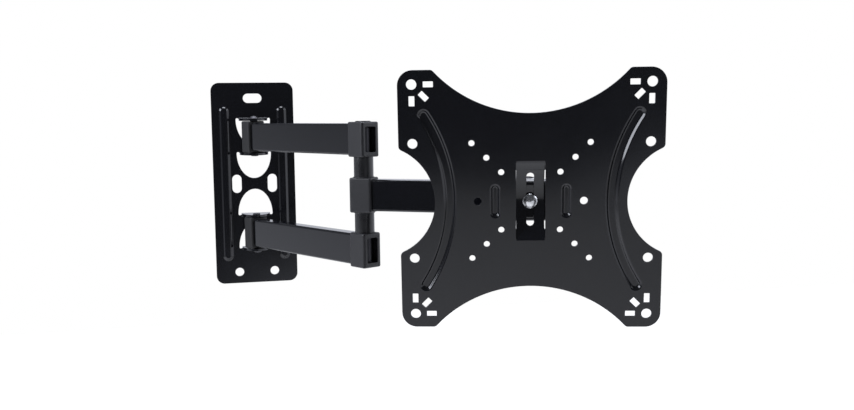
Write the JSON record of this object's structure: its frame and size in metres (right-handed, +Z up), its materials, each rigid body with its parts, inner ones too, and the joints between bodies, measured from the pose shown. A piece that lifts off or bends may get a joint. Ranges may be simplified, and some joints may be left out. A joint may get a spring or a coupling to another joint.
{
  "type": "television wall mount",
  "caption": "Full-motion television wall mount: a wall plate with folded lugs, twin arms and a centre arm of rectangular tube, and a tilting X-shaped screen plate on an arched strip.",
  "frame": {"origin": "middle of the wall plate's back face, which lies on the wall", "axes": "+X to the right seen from the room, +Y into the wall, +Z up"},
  "size_m": [0.3722, 0.3553, 0.2245],
  "materials": {
    "black_powder_coat": "semi-gloss",
    "black_nylon": "satin",
    "black_steel": "satin",
    "natural_nylon": "satin",
    "zinc_plated_steel": "zinc plated"
  },
  "bodies": {
    "wall": {"wall_plate": "black_powder_coat", "upper_wall_pin": "black_steel", "lower_wall_pin": "black_steel"},
    "arms": {"upper_arm_tube": "black_powder_coat", "upper_inner_cap": "black_nylon", "upper_outer_cap": "black_nylon", "upper_elbow_bush": "black_steel", "upper_spacer": "black_nylon", "lower_arm_tube": "black_powder_coat", "lower_inner_cap": "black_nylon", "lower_outer_cap": "black_nylon", "lower_elbow_bush": "black_steel", "lower_spacer": "black_nylon", "elbow_bolt": "black_steel", "elbow_nut": "black_steel", "hub_washers": "natural_nylon"},
    "centre_arm": {"hub_cap": "black_nylon", "hub_bush": "black_steel", "centre_arm_tube": "black_powder_coat", "front_plug": "black_nylon"},
    "head": {"swivel_bracket": "black_powder_coat", "swivel_pin": "black_steel", "swivel_washers": "natural_nylon", "tilt_bolt": "zinc_plated_steel", "tilt_washer": "zinc_plated_steel", "tilt_nut": "zinc_plated_steel"},
    "plate": {"tv_plate": "black_powder_coat"}
  },
  "joints": [
    {"name": "wall_swivel", "type": "hinge", "parent": "wall", "child": "arms", "pos_m": [0, -0.0235, 0], "axis": [0, 0, 1], "range_deg": [-117, 58]},
    {"name": "elbow_swivel", "type": "hinge", "parent": "arms", "child": "centre_arm", "pos_m": [0.09333, -0.19049, 0], "axis": [0, 0, 1], "range_deg": [-130, 75]},
    {"name": "head_swivel", "type": "hinge", "parent": "centre_arm", "child": "head", "pos_m": [0.22823, -0.27446, 0], "axis": [0, 0, 1], "range_deg": [-14, 162]},
    {"name": "screen_tilt", "type": "hinge", "parent": "head", "child": "plate", "pos_m": [0.20532, -0.3528, -0.00297], "axis": [0.9598, -0.2807, 0], "range_deg": [-17, 12]}
  ]
}
